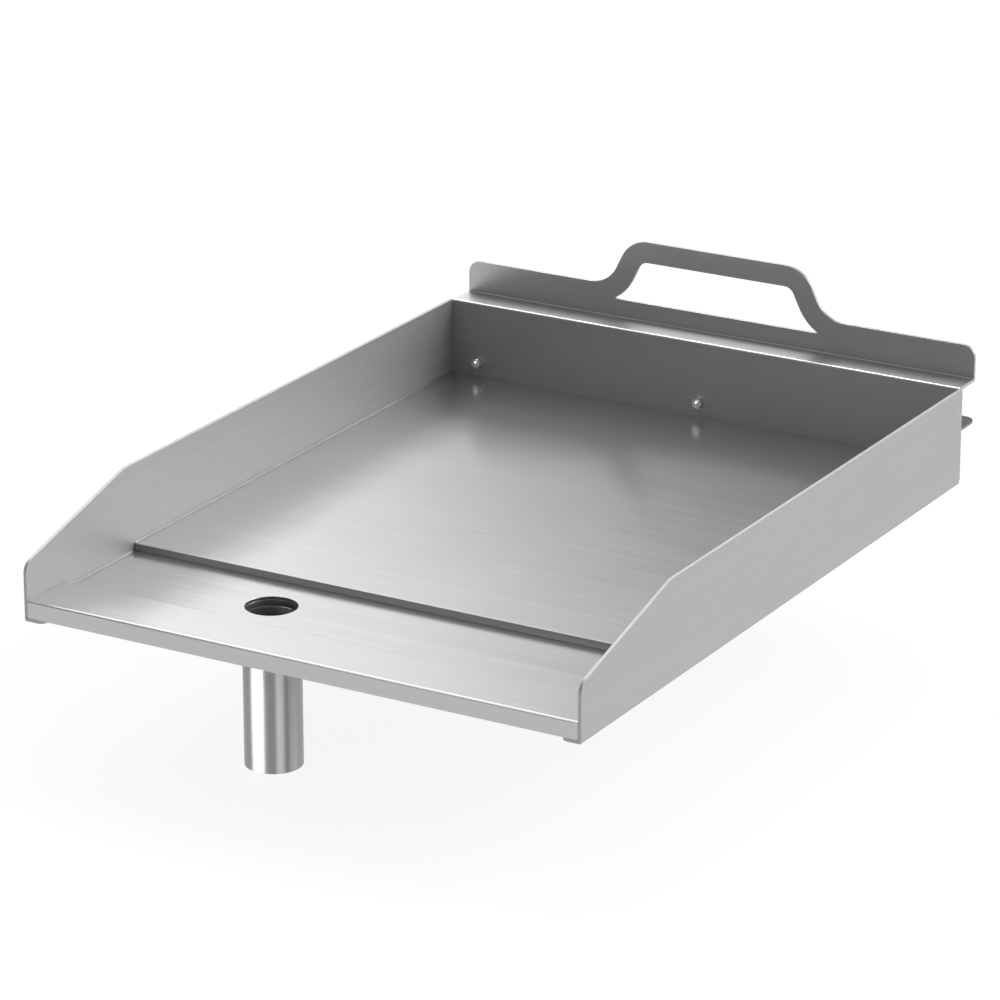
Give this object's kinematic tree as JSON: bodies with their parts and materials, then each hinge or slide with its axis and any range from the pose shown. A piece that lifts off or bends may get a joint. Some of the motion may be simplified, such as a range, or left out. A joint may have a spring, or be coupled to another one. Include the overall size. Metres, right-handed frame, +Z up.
{
  "type": "camp griddle plate",
  "caption": "Flat camp griddle tray with raised cooking plate, front gutter and drain tube, sloped side walls, back panel with ledge and carrying handle, and bolted rear bracket.",
  "frame": {"origin": "centre of the bounding box's base, level with the lower end of the drain tube", "axes": "+Z up, +Y from the front lip towards the back panel, +X to the right seen from the front"},
  "size_m": [0.356, 0.4938, 0.199],
  "materials": {
    "griddle_plate": "brushed",
    "sheet_metal": "brushed",
    "bracket_sheet": "brushed",
    "tube_steel": "drawn",
    "fastener_steel": "satin",
    "weld_metal": "satin"
  },
  "bodies": {
    "root": {"griddle_plate": "griddle_plate", "gutter_pan": "sheet_metal", "left_side_wall": "sheet_metal", "right_side_wall": "sheet_metal", "back_panel": "sheet_metal", "rear_bracket": "bracket_sheet", "drain_collar": "tube_steel", "drain_tube": "tube_steel", "bracket_screws": "fastener_steel", "bracket_head_washers": "fastener_steel", "bracket_nut_washers": "fastener_steel", "bracket_nuts": "fastener_steel", "left_seam_welds": "weld_metal", "right_seam_welds": "weld_metal", "back_corner_welds": "weld_metal", "back_stitch_welds": "weld_metal", "lap_stitch_welds": "weld_metal", "lip_tack_welds": "weld_metal", "collar_weld": "weld_metal", "tube_weld": "weld_metal"}
  },
  "joints": []
}
